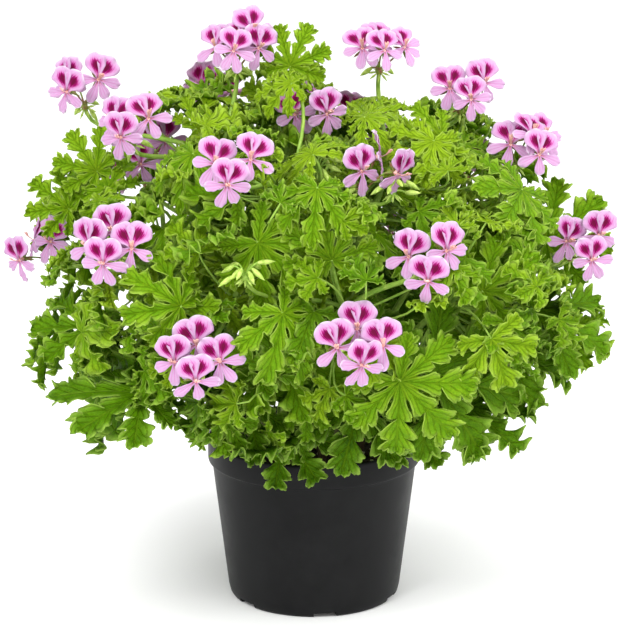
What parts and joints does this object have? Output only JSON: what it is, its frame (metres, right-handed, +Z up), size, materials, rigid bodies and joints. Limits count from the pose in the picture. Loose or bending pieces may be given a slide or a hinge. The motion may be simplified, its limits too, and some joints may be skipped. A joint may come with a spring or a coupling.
{
  "type": "potted geranium",
  "caption": "Bushy scented-leaf geranium with deeply cut leaves and two-tone pink flower heads, growing in a round tapered nursery pot with a banded rim.",
  "frame": {"origin": "middle of the flat underside of the pot", "axes": "+Z up, -Y towards the viewer of the picture, +X to that viewer's right"},
  "size_m": [0.3675, 0.3455, 0.3514],
  "materials": {
    "pot_plastic": "satin",
    "peat": "crumbly, matt",
    "green_growth": "softly hairy, satin",
    "petal": "soft, matt"
  },
  "bodies": {
    "root": {"pot": "pot_plastic", "growing_medium": "peat", "leafy_stem_01": "green_growth", "leafy_stem_02": "green_growth", "leafy_stem_03": "green_growth", "leafy_stem_04": "green_growth", "leafy_stem_05": "green_growth", "leafy_stem_06": "green_growth", "leafy_stem_07": "green_growth", "leafy_stem_08": "green_growth", "leafy_stem_09": "green_growth", "leafy_stem_10": "green_growth", "leafy_stem_11": "green_growth", "leafy_stem_12": "green_growth", "leafy_stem_13": "green_growth", "leafy_stem_14": "green_growth", "leafy_stem_15": "green_growth", "flower_head_back_high": "petal", "flower_head_back_left": "petal", "flower_head_back_low": "petal", "flower_head_back_low_right": "petal", "flower_head_back_right": "petal", "flower_head_behind_centre": "petal", "flower_head_behind_left": "petal", "flower_head_crown_centre": "petal", "flower_head_crown_right": "petal", "flower_head_far_left": "petal", "flower_head_far_left_high": "petal", "flower_head_far_right": "petal", "flower_head_left_front": "petal", "flower_head_low_centre": "petal", "flower_head_low_left": "petal", "flower_head_right_front": "petal", "flower_head_shoulder_left": "petal", "flower_head_shoulder_right": "petal", "flower_head_top_left": "petal", "flower_head_top_right": "petal", "flower_head_upper_front": "petal", "flower_head_upper_right": "petal"}
  },
  "joints": []
}
